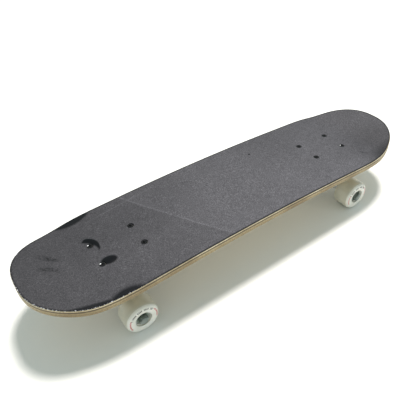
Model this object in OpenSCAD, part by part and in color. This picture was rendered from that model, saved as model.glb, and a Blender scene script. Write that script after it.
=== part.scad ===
// Complete street skateboard: plywood deck with grip tape, two kingpin trucks and four wheels.
// Origin: on the ground, under the middle of the deck's outline. +X points to the nose, +Y to the
// rider's left and +Z up. Every length is in millimetres.

/* [Deck] */
// Width of the deck across its straight sides
deck_w = 176.5; // [160:0.5:215]
// Thickness of the glued maple plies
deck_t = 11; // [9:0.5:13]
// How far the tail reaches from the middle of the wheelbase, seen from above
tail_reach = 337.5; // [320:0.5:420]
// How far the nose reaches from the middle of the wheelbase, seen from above
nose_reach = 333.5; // [320:0.5:420]
// Length of the tail's rounded end, from where the sides begin to curve in
tail_round = 148; // [100:1:180]
// Length of the nose's rounded end, from where the sides begin to curve in
nose_round = 127; // [100:1:180]
// Fullness of the tail's outline: 2 is an ellipse and more is squarer
tail_fullness = 2.6; // [2:0.05:3.5]
// Fullness of the nose's outline: 2 is an ellipse and more is squarer
nose_fullness = 2.35; // [2:0.05:3.5]
// How far the long edges stand above the flat middle of the deck
concave_rise = 2; // [0.5:0.5:8]
// Width of the flat middle, between the two raised edges
concave_flat_w = 60; // [58:1:80]

/* [Camber and kicks] */
// Slope of the truck pads, down and away from the arched middle, in degrees
camber_angle = 2.3; // [1:0.1:4]
// How far each straight truck pad runs past the baseplate towards the arched middle
inner_pad_margin = 8; // [4:1:14]
// How far the rear pad runs past the baseplate before the tail bends up
tail_pad_margin = 12; // [4:1:20]
// How far the front pad runs past the baseplate before the nose bends up
nose_pad_margin = 9; // [4:1:20]
// Inside radius of the bend up into each kick
kick_bend_r = 120; // [60:1:160]
// Slope of the tail kick, in degrees
tail_kick_angle = 16; // [8:0.5:24]
// Slope of the nose kick, in degrees
nose_kick_angle = 15; // [8:0.5:24]

/* [Grip tape] */
// Thickness of the grip tape
tape_t = 0.8; // [0.6:0.1:1.2]
// How far the tape is trimmed inside the deck's edge
tape_inset = 0.6; // [0.2:0.1:2]

/* [Truck layout] */
// Distance between the inner bolts of the two trucks
inner_bolt_gap = 333.6; // [300:0.2:380]
// Spacing of the truck bolts along the board
bolt_spacing_x = 63.5; // [53:0.1:76.5]
// Spacing of the truck bolts across the board
bolt_spacing_y = 41.3; // [38:0.1:49]
// Height of a truck, from the top of its baseplate to the axle's centre
truck_h = 51.5; // [51:0.5:58]
// How far the axle lies outboard of the middle of the bolt pattern
axle_out = 16; // [12:0.5:20]
// Thickness of the riser pad
riser_t = 3; // [1.5:0.5:8]

/* [Baseplate] */
// How far the baseplate runs past the bolt holes, along the board
plate_end_margin = 10.2; // [8.5:0.1:14]
// How far the baseplate runs past the bolt holes, across the board
plate_side_margin = 7.8; // [7:0.1:10]
// Corner radius of the baseplate
plate_corner_r = 9; // [4:1:12]
// Thickness of the baseplate's flange
plate_t = 5.5; // [5:0.5:7]
// Metal around the washer's seat on the kingpin boss
king_boss_wall = 1.3; // [0.5:0.1:2.5]
// Metal around the pivot cup
pivot_boss_wall = 3.5; // [2.5:0.1:4]
// Metal left over the deepest corner of the pivot cup
cup_cover = 2; // [1:0.5:3]
// Metal left over the highest corner of the kingpin's head
head_cover = 0.6; // [0.4:0.1:2]

/* [Kingpin and bushings] */
// Place of the hanger ring's centre outboard of the bolt pattern's middle
ring_x = -9; // [-11:0.5:-8]
// Lean of the kingpin from upright, in degrees
king_angle = 22; // [18:1:25]
// Diameter of the kingpin
king_d = 9.5; // [8:0.1:11.4]
// Width across the flats of the kingpin's head and nut
king_hex = 14.3; // [13:0.1:15]
// Height of the kingpin's head
king_head_h = 5.5; // [4.5:0.5:6]
// Height of the kingpin nut
king_nut_h = 8.5; // [7:0.5:10]
// Diameter of both bushings
bushing_d = 25; // [22:0.5:30]
// Length of the board-side bushing
board_bushing_h = 15; // [12:0.5:18]
// Length of the road-side bushing
road_bushing_h = 12; // [9:0.5:13]
// Diameter of the small end of the road-side bushing
road_bushing_tip_d = 19; // [17:0.5:22]
// Thickness of each bushing washer
cup_washer_t = 2; // [1.5:0.5:2.5]

/* [Hanger] */
// Width of the hanger between its two end faces
hanger_w = 112; // [100:0.5:140]
// Thickness of the ring that the bushings hold
ring_t = 9; // [7:0.5:10]
// How far the ring's rim stands out past the bushings
ring_margin = 3; // [2:0.5:4]
// Gap that lets the ring lean around the kingpin
ring_play = 2.75; // [2:0.05:3]
// Place of the pivot's centre outboard of the bolt pattern's middle
pivot_x = 24.5; // [24:0.5:26]
// Where the pivot stem grows out of the hanger: 0 is at the axle and 1 is at the ring
stem_foot = 0.4; // [0.3:0.05:0.5]
// Radius of the pivot's ball end
pivot_r = 6; // [5:0.1:6.5]
// Radius of the beam around the axle, at the wheels
beam_r = 8.6; // [7.5:0.1:9]

/* [Axle] */
// How far the axle stands out of its nut
axle_stickout = 0.6; // [0.5:0.1:3]
// Width across the flats of the axle nut
axle_nut_hex = 12.7; // [12:0.1:14]
// Height of the axle nut
axle_nut_h = 6; // [5:0.1:8]
// Diameter of a speed washer
washer_d = 12; // [11:0.1:12]
// Thickness of a speed washer
washer_t = 0.8; // [0.5:0.1:1.2]

/* [Wheels] */
// Diameter of a wheel
wheel_d = 50; // [48:0.5:60]
// Width of a wheel
wheel_w = 32; // [28:0.5:36]
// Width of the rounded lip between the riding surface and a side face
lip_w = 7.5; // [3:0.5:8]
// How far the rounded lip comes in from the riding surface to the side face
lip_depth = 5; // [2:0.5:6]
// Width of the dished ring around the bearing in a side face
dish_w = 1.5; // [1:0.5:2.5]
// Depth of that dished ring
dish_depth = 3; // [1:0.1:3.5]

/* [Bearings] */
// Outside diameter of a bearing
bearing_od = 22; // [20:0.1:26.4]
// Bore of a bearing
bearing_bore = 8; // [6.6:0.1:9.6]
// Width of a bearing
bearing_w = 7; // [6.8:0.1:8.4]
// Distance between the two bearings of a wheel, which the spacer keeps
bearing_gap = 10; // [9:0.5:12]
// Radial gap between the shoulders of the two races
race_gap = 3; // [2.8:0.1:3.2]
// Diameter of a ball
ball_d = 3.9; // [3.6:0.05:4.2]
// Number of balls in a bearing
ball_count = 7; // [6:1:7]

/* [Mounting bolts] */
// Diameter of a mounting bolt
bolt_d = 4.8; // [4.5:0.1:5]
// Diameter of its countersunk head
bolt_head_d = 9; // [8.4:0.1:9.4]
// Width across the flats of its nut
bolt_nut_hex = 9.5; // [9:0.1:10]
// Height of its nut
bolt_nut_h = 5; // [4:0.5:6]
// How far a bolt stands out of its nut
bolt_stickout = 1.5; // [0.5:0.5:3]

/* [Fits] */
// Radial clearance of a bolt in the holes it passes through
bolt_clearance = 0.3; // [0.2:0.05:0.4]
// Radial clearance of the kingpin in the bushings and washers
king_clearance = 0.25; // [0.1:0.05:0.4]
// Radial clearance between a thread's crests and its nut
thread_clearance = 0.05; // [0.02:0.01:0.1]
// Radial clearance of the axle in the bearings, washers and spacers
axle_clearance = 0.03; // [0.02:0.01:0.05]
// Radial clearance of the axle in the hanger
hanger_clearance = 0.02; // [0.01:0.01:0.05]
// Radial clearance of a bearing in the wheel's seat
seat_clearance = 0.02; // [0.01:0.01:0.05]
// Radial clearance between the pivot's ball end and its cup
pivot_clearance = 0.08; // [0.05:0.01:0.1]
// Clearance between the balls and their grooves
ball_clearance = 0.05; // [0.03:0.01:0.08]
// Radial clearance between the bushings and the hanger around them
bushing_clearance = 1.6; // [1.5:0.1:2.5]

/* [Hidden] */
$fn = 72;

wheel_r = wheel_d / 2;
pattern_x = inner_bolt_gap / 2 + bolt_spacing_x / 2;
plate_len = bolt_spacing_x + 2 * plate_end_margin;
plate_w = bolt_spacing_y + 2 * plate_side_margin;
middle_x = (tail_reach - nose_reach) / 2;
hanger_half = hanger_w / 2;
wheel_y = hanger_half + washer_t + bearing_w + bearing_gap / 2;
bearing_mid = bearing_gap / 2 + bearing_w / 2;
bearing_end = bearing_gap / 2 + bearing_w;
nut_seat_y = wheel_y + bearing_end + washer_t;
axle_half = nut_seat_y + axle_nut_h + axle_stickout;
bore_r = bearing_bore / 2;
axle_r = bore_r - axle_clearance;

// Height of the deck's underside where the middle of a bolt pattern meets it
under_z = wheel_r + axle_out * sin(camber_angle) + (truck_h + riser_t) * cos(camber_angle);
// The arch's radius is a whole number, so that its long arc meets the two flat pads exactly.
arch_r = round((pattern_x - plate_len / 2 - inner_pad_margin) / sin(camber_angle));
arch_reach = arch_r * sin(camber_angle);
arch_top_z = under_z + (pattern_x - arch_reach) * tan(camber_angle) + arch_r * (1 - cos(camber_angle));
bend_r = kick_bend_r + deck_t;

// Shape of one cross-section: v is the height above the flat middle of the underside
edge_margin = 4;
section_half = deck_w / 2 + edge_margin;
concave_steps = 5;
outline_steps = 22;
kick_run = 240;
cut_reach = 60;
lap = 4;

// Lengths that neighbouring runs share are kept to a hundredth, so that both use the same number.
function neat(length) = round(100 * length) / 100;
arch_cut = neat(arch_reach);

function concave_at(y) = neat(concave_rise
    * pow(max(0, abs(y) - concave_flat_w / 2) / (deck_w / 2 - concave_flat_w / 2), 2));
rising_ys = [for (i = [0:concave_steps])
    concave_flat_w / 2 + (section_half - concave_flat_w / 2) * i / concave_steps];
section_ys = concat([for (i = [concave_steps:-1:0]) -rising_ys[i]], rising_ys);
function reversed(list) = [for (i = [len(list) - 1:-1:0]) list[i]];

// Closed cross-section between two heights, as [y, v] points
function section_points(v_low, v_high) = concat(
    [for (y = section_ys) [y, v_low + concave_at(y)]],
    [for (y = reversed(section_ys)) [y, v_high + concave_at(y)]]);

// One rounded end of the outline, from the +Y side round to the -Y side
function end_points(reach, round_len, fullness, half_w) =
    [for (i = [-outline_steps:outline_steps])
        let (a = 90 * i / outline_steps, c = cos(a), s = abs(sin(a)))
        [reach - round_len + round_len * pow(c, 2 / fullness),
         -sign(i) * half_w * pow(s, 2 / fullness)]];

function turned_back(points) = [for (p = points) [-p.x, -p.y]];

module outline_2d(inset) {
    half_w = deck_w / 2 - inset;
    nose = end_points(nose_reach - inset, nose_round, nose_fullness, half_w);
    tail = end_points(tail_reach - inset, tail_round, tail_fullness, half_w);
    polygon(concat(nose, turned_back(tail)));
}

// Sweeps a cross-section along X
module straight_run(length, v_low, v_high) {
    rotate([90, 0, 90])
        linear_extrude(height = length)
            polygon(section_points(v_low, v_high));
}

// Space beyond a distance along +X, and the space short of it
module beyond(x) {
    translate([x, -deck_w, 0])
        cube([kick_run, 2 * deck_w, 2 * under_z]);
}

module short_of(x) {
    translate([x, -deck_w, 0])
        translate([-kick_run, 0, 0])
            cube([kick_run, 2 * deck_w, 2 * under_z]);
}

// The bend up into a kick, ending at X = 0 where the straight kick begins
module kick_bend(v_low, v_high) {
    intersection() {
        translate([0, 0, bend_r])
            rotate([90, 0, 0])
                rotate_extrude($fn = 180)
                    polygon([for (p = section_points(v_low, v_high)) [bend_r - p.y, p.x]]);
        translate([-bend_r, -deck_w, -deck_t])
            cube([bend_r, 2 * deck_w, bend_r]);
    }
}

// One end of the board: its straight truck pad, the bend and the straight kick. Neighbouring
// runs are cut square at the same distance, so that their end faces meet exactly.
module end_sweep(pad_margin, kick_angle, v_low, v_high) {
    pad_len = inner_pad_margin + plate_len + pad_margin;
    pad = [arch_reach, arch_top_z - arch_r * (1 - cos(camber_angle))];
    bend = pad + pad_len * [cos(camber_angle), -sin(camber_angle)];
    centre = bend + bend_r * [sin(camber_angle), cos(camber_angle)];
    kick = centre + bend_r * [sin(kick_angle), -cos(kick_angle)];
    bend_cut = neat(bend.x + deck_t / 2 * sin(camber_angle));
    intersection() {
        translate([pad.x, 0, pad.y])
            rotate([0, camber_angle, 0])
                translate([-lap, 0, 0])
                    straight_run(pad_len + 2 * lap, v_low, v_high);
        beyond(arch_cut);
        short_of(bend_cut);
    }
    intersection() {
        translate([kick.x, 0, kick.y])
            rotate([0, -kick_angle, 0]) {
                kick_bend(v_low, v_high);
                straight_run(kick_run, v_low, v_high);
            }
        beyond(bend_cut);
    }
}

// The whole cambered and kicked sheet between two heights, before its outline is cut
module board_sweep(v_low, v_high) {
    intersection() {
        translate([0, 0, arch_top_z])
            translate([0, 0, -arch_r])
                rotate([90, 0, 0])
                    rotate_extrude($fn = 256)
                        polygon([for (p = section_points(v_low, v_high)) [arch_r + p.y, p.x]]);
        translate([-arch_cut, -deck_w, 0])
            cube([2 * arch_cut, 2 * deck_w, 2 * under_z]);
    }
    end_sweep(nose_pad_margin, nose_kick_angle, v_low, v_high);
    mirror([1, 0, 0])
        end_sweep(tail_pad_margin, tail_kick_angle, v_low, v_high);
}

module cut_to_outline(inset) {
    intersection() {
        children();
        translate([0, 0, under_z - cut_reach])
            linear_extrude(height = 3 * cut_reach)
                outline_2d(inset);
    }
}

// Frame of a truck: its origin is on the deck's underside in the middle of the bolt pattern, +X is
// outboard and +Z is square to the sloping pad. The end is 1 for the nose and -1 for the tail.
module pad_at(end) {
    rotate([0, 0, end > 0 ? 0 : 180])
        translate([pattern_x, 0, under_z])
            rotate([0, camber_angle, 0])
                children();
}

// The same frame moved to the top of the baseplate, in the object's own place
module truck_at(end) {
    translate([middle_x, 0, 0])
        pad_at(end)
            translate([0, 0, -riser_t])
                children();
}

module each_bolt() {
    for (sx = [-1, 1])
        for (sy = [-1, 1])
            translate([sx * bolt_spacing_x / 2, sy * bolt_spacing_y / 2, 0])
                children();
}

// Places in the truck's frame, as [outboard, up]. The kingpin's stack of pieces sets the ring's
// depth, and the pivot cup's deepest corner sets the pivot's.
king_r = king_d / 2;
king_head_r = king_hex / 2 / cos(30);
king_seat_wall = 3.5;
seat_z = ring_t / 2 + board_bushing_h + cup_washer_t;
head_z = seat_z + king_seat_wall;
ring_z = -(head_z + king_head_h) * cos(king_angle) - king_head_r * sin(king_angle) - head_cover;
cup_wall = 3;
cup_floor = 2;
cup_r = pivot_r + cup_wall;
cup_depth = pivot_r + cup_floor;
pivot_z = -norm([cup_r, cup_depth]) - cup_cover;
foot = [axle_out, -truck_h] * (1 - stem_foot) + [ring_x, ring_z] * stem_foot;
stem_angle = atan2(pivot_x - foot.x, pivot_z - foot.y);
stem_len = norm([pivot_x - foot.x, pivot_z - foot.y]);

// Kingpin frame: the origin is the ring's centre and +Z points up the kingpin to its head
module on_kingpin() {
    translate([ring_x, 0, ring_z])
        rotate([0, king_angle, 0])
            children();
}

// Pivot frame: the origin is the ball end's centre and +Z points into the cup
module on_pivot() {
    translate([pivot_x, 0, pivot_z])
        rotate([0, stem_angle, 0])
            children();
}

// Wheel frame: the origin is the wheel's centre and +Z points out along the axle. The side is 1
// for the rider's left on the front truck; the rear truck is the front one turned round.
module wheel_at(end, side) {
    truck_at(end)
        translate([axle_out, end * side * wheel_y, -truck_h])
            rotate([-90 * end * side, 0, 0])
                children();
}

// Zigzag points for the ridges of a thread, going up from a height
function ridge_points(r, depth, pitch, z, count) =
    [for (i = [0:count - 1]) each [[r - depth, z + i * pitch], [r, z + (i + 0.5) * pitch]]];

module tube(outer_r, inner_r, height) {
    difference() {
        cylinder(r = outer_r, h = height);
        translate([0, 0, -1])
            cylinder(r = inner_r, h = height + 2);
    }
}

// Hexagonal lock nut with chamfered corners and a round collar over its nylon insert
module lock_nut(hex, bore_r, height) {
    corner_r = hex / 2 / cos(30);
    chamfer = (corner_r - hex / 2) * 0.8;
    collar_h = height * 0.2;
    difference() {
        union() {
            intersection() {
                cylinder(r = corner_r, h = height - collar_h, $fn = 6);
                rotate_extrude()
                    polygon([[0, 0], [corner_r - chamfer, 0], [corner_r, chamfer * 0.6],
                             [corner_r, height - collar_h - chamfer * 0.6],
                             [corner_r - chamfer, height - collar_h], [0, height - collar_h]]);
            }
            cylinder(r = hex / 2 * 0.88, h = height);
        }
        translate([0, 0, -1])
            cylinder(r = bore_r, h = height + 2);
    }
}

// Flat plate with round corners, its top face at z = 0
module rounded_plate(length, width, corner_r, thickness) {
    translate([0, 0, -thickness])
        linear_extrude(height = thickness)
            union() {
                square([length - 2 * corner_r, width], center = true);
                square([length, width - 2 * corner_r], center = true);
                for (sx = [-1, 1])
                    for (sy = [-1, 1])
                        translate([sx * (length / 2 - corner_r), sy * (width / 2 - corner_r)])
                            circle(r = corner_r);
            }
}

// ---- Board ----

tape_top = deck_t + tape_t;
bolt_r = bolt_d / 2;
bolt_head_r = bolt_head_d / 2;
bolt_head_rim = 0.3;
bolt_head_h = bolt_head_rim + bolt_head_r - bolt_r;
bolt_hole_r = bolt_r + bolt_clearance;

module deck() {
    color("burlywood")
        translate([middle_x, 0, 0])
            difference() {
                cut_to_outline(0)
                    board_sweep(0, deck_t);
                for (end = [-1, 1])
                    pad_at(end)
                        each_bolt() {
                            translate([0, 0, -1])
                                cylinder(r = bolt_hole_r, h = deck_t + 2);
                            translate([0, 0, tape_top - bolt_head_h])
                                cylinder(r1 = bolt_hole_r, r2 = bolt_hole_r + bolt_head_h + 1,
                                         h = bolt_head_h + 1);
                        }
            }
}

module grip_tape() {
    color("#3b3d42")
        translate([middle_x, 0, 0])
            difference() {
                cut_to_outline(tape_inset)
                    board_sweep(deck_t, tape_top);
                for (end = [-1, 1])
                    pad_at(end)
                        each_bolt()
                            translate([0, 0, deck_t - 1])
                                cylinder(r = bolt_head_r + bolt_clearance, h = tape_t + 2);
            }
}

bolt_low = -riser_t - plate_t - bolt_nut_h - bolt_stickout;
bolt_thread_pitch = 0.9;
bolt_thread_depth = 0.35;
bolt_thread_count = 10;
recess_w = 1.1;
recess_len = 5;
recess_depth = 1.6;

// Countersunk bolt with a cross recess, in the pad's frame
module mounting_bolt() {
    length = tape_top - bolt_low;
    translate([0, 0, bolt_low])
        difference() {
            rotate_extrude()
                polygon(concat([[0, 0]],
                    ridge_points(bolt_r, bolt_thread_depth, bolt_thread_pitch, 0, bolt_thread_count),
                    [[bolt_r, length - bolt_head_h], [bolt_head_r, length - bolt_head_rim],
                     [bolt_head_r, length], [0, length]]));
            for (turn = [0, 90])
                rotate([0, 0, turn])
                    translate([-recess_len / 2, -recess_w / 2, length - recess_depth])
                        cube([recess_len, recess_w, recess_depth + 1]);
        }
}

module deck_bolts() {
    color("#202124")
        translate([middle_x, 0, 0])
            for (end = [-1, 1])
                pad_at(end)
                    each_bolt()
                        mounting_bolt();
}

module deck_nuts() {
    color("silver")
        for (end = [-1, 1])
            truck_at(end)
                each_bolt()
                    translate([0, 0, -plate_t])
                        mirror([0, 0, 1])
                            lock_nut(bolt_nut_hex, bolt_r + thread_clearance, bolt_nut_h);
}

// ---- Parts of a truck that stay with the deck ----

module riser_pad() {
    color("#26282b")
        translate([0, 0, riser_t])
            difference() {
                rounded_plate(plate_len, plate_w, plate_corner_r, riser_t);
                each_bolt()
                    translate([0, 0, -riser_t - 1])
                        cylinder(r = bolt_hole_r, h = riser_t + 2);
            }
}

king_hole_r = king_r + king_clearance;
head_fit = 0.2;
cup_mouth = 4;
cup_fit = 0.05;
washer_rim = 1.2;
bushing_r = bushing_d / 2;
king_boss_r = bushing_r + washer_rim + king_boss_wall;
pivot_boss_r = cup_r + pivot_boss_wall;
boss_reach = 40;
web_half_w = 8;
web_depth = 11;
web_taper = 12;
nut_room = 0.6;

module baseplate() {
    color("#b9bcc0")
        difference() {
            union() {
                rounded_plate(plate_len, plate_w, plate_corner_r, plate_t);
                intersection() {
                    union() {
                        on_kingpin()
                            translate([0, 0, seat_z])
                                cylinder(r = king_boss_r, h = boss_reach);
                        on_pivot()
                            translate([0, 0, -cup_mouth + 1])
                                cylinder(r = pivot_boss_r, h = boss_reach);
                        rotate([90, 0, 0])
                            translate([0, 0, -web_half_w])
                                linear_extrude(height = 2 * web_half_w)
                                    polygon([[-plate_len / 2 + web_taper, 0],
                                             [0, -web_depth], [pivot_x, -web_depth],
                                             [plate_len / 2, 0]]);
                    }
                    translate([-plate_len / 2, -plate_w / 2, -boss_reach])
                        cube([plate_len, plate_w, boss_reach - plate_t / 2]);
                }
            }
            on_kingpin() {
                translate([0, 0, seat_z - 1])
                    cylinder(r = king_hole_r, h = king_seat_wall + 2);
                translate([0, 0, head_z])
                    cylinder(r = king_head_r + head_fit, h = boss_reach, $fn = 6);
            }
            on_pivot()
                translate([0, 0, cup_depth - boss_reach])
                    cylinder(r = cup_r + cup_fit, h = boss_reach);
            each_bolt() {
                translate([0, 0, -plate_t - 1])
                    cylinder(r = bolt_hole_r, h = plate_t + 2);
                translate([0, 0, -plate_t - boss_reach])
                    cylinder(r = bolt_nut_hex / 2 / cos(30) + nut_room, h = boss_reach);
            }
        }
}

// Plastic cup that holds the ball end of the hanger's stem
module pivot_cup() {
    color("#2e3033")
        on_pivot()
            difference() {
                translate([0, 0, -cup_mouth])
                    cylinder(r = cup_r, h = cup_depth + cup_mouth);
                sphere(r = pivot_r + pivot_clearance);
                translate([0, 0, -cup_mouth - 1])
                    cylinder(r1 = cup_r - 0.4, r2 = pivot_r + pivot_clearance, h = cup_mouth + 1);
            }
}

king_thread_pitch = 1.2;
king_thread_depth = 0.5;
king_thread_count = 9;
road_washer_z = -ring_t / 2 - road_bushing_h - cup_washer_t;
king_nut_z = road_washer_z - king_nut_h;
king_stickout = 2;

module kingpin() {
    low = king_nut_z - king_stickout;
    color("#9aa0a6")
        on_kingpin() {
            rotate_extrude()
                polygon(concat([[0, low]],
                    ridge_points(king_r, king_thread_depth, king_thread_pitch, low, king_thread_count),
                    [[king_r, head_z], [0, head_z]]));
            translate([0, 0, head_z])
                cylinder(r = king_head_r, h = king_head_h, $fn = 6);
        }
}

module kingpin_nut() {
    color("silver")
        on_kingpin()
            translate([0, 0, road_washer_z])
                mirror([0, 0, 1])
                    lock_nut(king_hex, king_r + thread_clearance, king_nut_h);
}

bushing_bulge = 0.8;

// Barrel bushing between the baseplate and the ring
module board_bushing() {
    color("#d9d4c4")
        on_kingpin()
            translate([0, 0, ring_t / 2])
                difference() {
                    rotate_extrude()
                        polygon([[0, 0], [bushing_r - bushing_bulge, 0],
                                 [bushing_r, board_bushing_h * 0.25],
                                 [bushing_r, board_bushing_h * 0.75],
                                 [bushing_r - bushing_bulge, board_bushing_h],
                                 [0, board_bushing_h]]);
                    translate([0, 0, -1])
                        cylinder(r = king_hole_r, h = board_bushing_h + 2);
                }
}

// Cone bushing between the ring and the kingpin nut
module road_bushing() {
    color("#d9d4c4")
        on_kingpin()
            translate([0, 0, -ring_t / 2])
                mirror([0, 0, 1])
                    difference() {
                        rotate_extrude()
                            polygon([[0, 0], [bushing_r - bushing_bulge, 0],
                                     [bushing_r, road_bushing_h * 0.2],
                                     [road_bushing_tip_d / 2, road_bushing_h],
                                     [0, road_bushing_h]]);
                        translate([0, 0, -1])
                            cylinder(r = king_hole_r, h = road_bushing_h + 2);
                    }
}

washer_lip = 0.8;

// Cupped washer: its rim stands round the end of a bushing by the lip
module cup_washer(outer_r, held_r) {
    difference() {
        cylinder(r = outer_r, h = cup_washer_t + washer_lip);
        translate([0, 0, cup_washer_t])
            cylinder(r = held_r, h = washer_lip + 1);
        translate([0, 0, -1])
            cylinder(r = king_hole_r, h = cup_washer_t + 2);
    }
}

washer_fit = 0.15;

module board_washer() {
    color("silver")
        on_kingpin()
            translate([0, 0, seat_z])
                mirror([0, 0, 1])
                    cup_washer(bushing_r + washer_rim, bushing_r + washer_fit);
}

module road_washer() {
    held_r = road_bushing_tip_d / 2 + washer_lip * 0.35;
    color("silver")
        on_kingpin()
            translate([0, 0, road_washer_z])
                cup_washer(held_r + washer_rim, held_r + washer_fit);
}

// ---- Parts of a truck that steer ----

beam_mid_r = 11.5;
beam_mid_half = 14;
collar_w = 4;
collar_r = beam_r + 0.6;
collar_edge = 0.5;
beam_taper_end = hanger_half - collar_w - 10;
stem_r = 4.9;
neck_low_r = 10.5;
neck_top = -cup_mouth - 5;
ring_r = bushing_r + ring_margin;
ring_bore_r = king_r + ring_play;
fin_half_t = 6;
fin_top_half = 14;
fin_root_half = hanger_half - 10;
fin_scoop_r = 44;
fin_scoop_out = 59;
fin_scoop_up = 12;

// Direction and length from the axle's centre up to the ring's centre
fin_rise = ring_z + truck_h;
fin_run = ring_x - axle_out;
fin_len = norm([fin_run, fin_rise]);
fin_angle = atan2(fin_rise, fin_run);

// Flat web of the hanger, from the axle beam at y = 0 up to the ring, scooped out at both flanks
module fin_2d() {
    difference() {
        polygon([[-fin_root_half, 0], [fin_root_half, 0],
                 [fin_top_half, fin_len], [-fin_top_half, fin_len]]);
        for (s = [-1, 1])
            translate([s * (fin_top_half + fin_scoop_out), fin_len + fin_scoop_up])
                circle(r = fin_scoop_r, $fn = 128);
    }
}

module hanger() {
    beam_half = [[0, hanger_half], [collar_r - collar_edge, hanger_half],
                 [collar_r, hanger_half - collar_edge], [collar_r, hanger_half - collar_w],
                 [beam_r, hanger_half - collar_w - 2 * collar_edge], [beam_r, beam_taper_end],
                 [beam_mid_r, beam_mid_half]];
    color("#c3c6ca")
        difference() {
            union() {
                translate([axle_out, 0, -truck_h])
                    rotate([90, 0, 0])
                        rotate_extrude()
                            polygon(concat(beam_half, [for (p = reversed(beam_half)) [p.x, -p.y]]));
                translate([axle_out, 0, -truck_h])
                    rotate([0, -fin_angle, 0])
                        rotate([0, 0, -90])
                            translate([0, 0, -fin_half_t])
                                linear_extrude(height = 2 * fin_half_t)
                                    fin_2d();
                on_kingpin()
                    translate([0, 0, -ring_t / 2])
                        cylinder(r = ring_r, h = ring_t);
                on_pivot() {
                    translate([0, 0, -stem_len])
                        cylinder(r1 = neck_low_r, r2 = stem_r, h = stem_len + neck_top);
                    translate([0, 0, neck_top - 1])
                        cylinder(r = stem_r, h = 1 - neck_top);
                    sphere(r = pivot_r);
                }
            }
            on_kingpin() {
                translate([0, 0, -ring_t])
                    cylinder(r = ring_bore_r, h = 2 * ring_t);
                translate([0, 0, ring_t / 2])
                    cylinder(r = bushing_r + washer_rim + bushing_clearance, h = boss_reach);
                translate([0, 0, -ring_t / 2 - boss_reach])
                    cylinder(r = bushing_r + bushing_clearance, h = boss_reach);
            }
            translate([axle_out, 0, -truck_h])
                rotate([90, 0, 0])
                    translate([0, 0, -hanger_half - 1])
                        cylinder(r = axle_r + hanger_clearance, h = hanger_w + 2);
        }
}

axle_thread_pitch = 1.06;
axle_thread_depth = 0.4;
axle_thread_count = 8;

module axle() {
    thread = ridge_points(axle_r, axle_thread_depth, axle_thread_pitch, -axle_half,
                          axle_thread_count);
    color("#9aa0a6")
        translate([axle_out, 0, -truck_h])
            rotate([90, 0, 0])
                rotate_extrude()
                    polygon(concat([[0, -axle_half]], thread,
                        [for (p = reversed(thread)) [p.x, -p.y]], [[0, axle_half]]));
}

// Both wheel ends of a truck, in the wheel's frame
module each_wheel_end() {
    for (side = [-1, 1])
        translate([axle_out, side * wheel_y, -truck_h])
            rotate([-90 * side, 0, 0])
                children();
}

module axle_nuts() {
    color("silver")
        each_wheel_end()
            translate([0, 0, bearing_end + washer_t])
                lock_nut(axle_nut_hex, axle_r + thread_clearance, axle_nut_h);
}

module speed_washers() {
    color("silver")
        each_wheel_end()
            for (z = [-bearing_end - washer_t, bearing_end])
                translate([0, 0, z])
                    tube(washer_d / 2, bore_r, washer_t);
}

bearing_r = bearing_od / 2;
race_wall = (bearing_r - bore_r - race_gap) / 2;
ball_circle_r = (bearing_r + bore_r) / 2;
groove_r = ball_d / 2 + ball_clearance;

module each_bearing() {
    for (s = [-1, 1])
        translate([0, 0, s * bearing_mid])
            children();
}

// Race between two radii, with the ball groove cut into it
module race(inner_r, outer_r) {
    rotate_extrude()
        difference() {
            translate([inner_r, -bearing_w / 2])
                square([outer_r - inner_r, bearing_w]);
            translate([ball_circle_r, 0])
                circle(r = groove_r);
        }
}

module inner_races() {
    color("silver")
        each_wheel_end()
            each_bearing()
                race(bore_r, bore_r + race_wall);
}

spacer_wall = 1.2;

module bearing_spacers() {
    color("#a8acb1")
        each_wheel_end()
            translate([0, 0, -bearing_gap / 2])
                tube(bore_r + spacer_wall, bore_r, bearing_gap);
}

// ---- Parts that turn with a wheel ----

shield_t = 0.35;
shield_in = 0.3;
shield_seat = 0.4;
shield_gap = 0.3;
shield_r = bearing_r - race_wall + shield_seat;
shield_z = bearing_w / 2 - shield_in - shield_t;
lip_steps = 6;
hub_wall = 1.6;
hub_rim = 0.7;
dish_low_r = bearing_r + hub_rim;
dish_z = wheel_w / 2 - dish_depth;
face_r = wheel_r - lip_depth;

// Profile of one half of a wheel, from its middle plane out to its side face
function wheel_half_points() = concat(
    [for (i = [0:lip_steps])
        let (a = 90 * i / lip_steps)
        [face_r + lip_depth * cos(a), wheel_w / 2 - lip_w * (1 - sin(a))]],
    [[bearing_r + dish_w, wheel_w / 2], [dish_low_r, dish_z],
     [bearing_r + seat_clearance, dish_z], [bearing_r + seat_clearance, bearing_gap / 2],
     [bearing_r - hub_wall, bearing_gap / 2]]);

module wheel() {
    half = wheel_half_points();
    color("#efece2")
        rotate_extrude($fn = 96)
            polygon(concat(half, [for (p = reversed(half)) [p.x, -p.y]]));
}

module outer_races() {
    color("silver")
        each_bearing()
            difference() {
                race(bearing_r - race_wall, bearing_r);
                for (s = [0, 1])
                    mirror([0, 0, s])
                        translate([0, 0, shield_z])
                            cylinder(r = shield_r + seat_clearance, h = bearing_w);
            }
}

module shields() {
    color("#5d6a62")
        each_bearing()
            for (s = [0, 1])
                mirror([0, 0, s])
                    translate([0, 0, shield_z])
                        tube(shield_r, bore_r + race_wall + shield_gap, shield_t);
}

// ---- Parts that roll inside the bearings ----

cage_half_w = 0.9;
cage_gap = 0.25;
cage_low = cage_gap - shield_z;
cage_high = 1.2;
cage_clearance = 0.08;

module each_ball() {
    for (i = [0:ball_count - 1])
        rotate([0, 0, 360 * i / ball_count])
            translate([ball_circle_r, 0, 0])
                children();
}

module ball_set() {
    color("silver")
        each_bearing()
            each_ball()
                sphere(r = ball_d / 2, $fn = 36);
}

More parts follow.
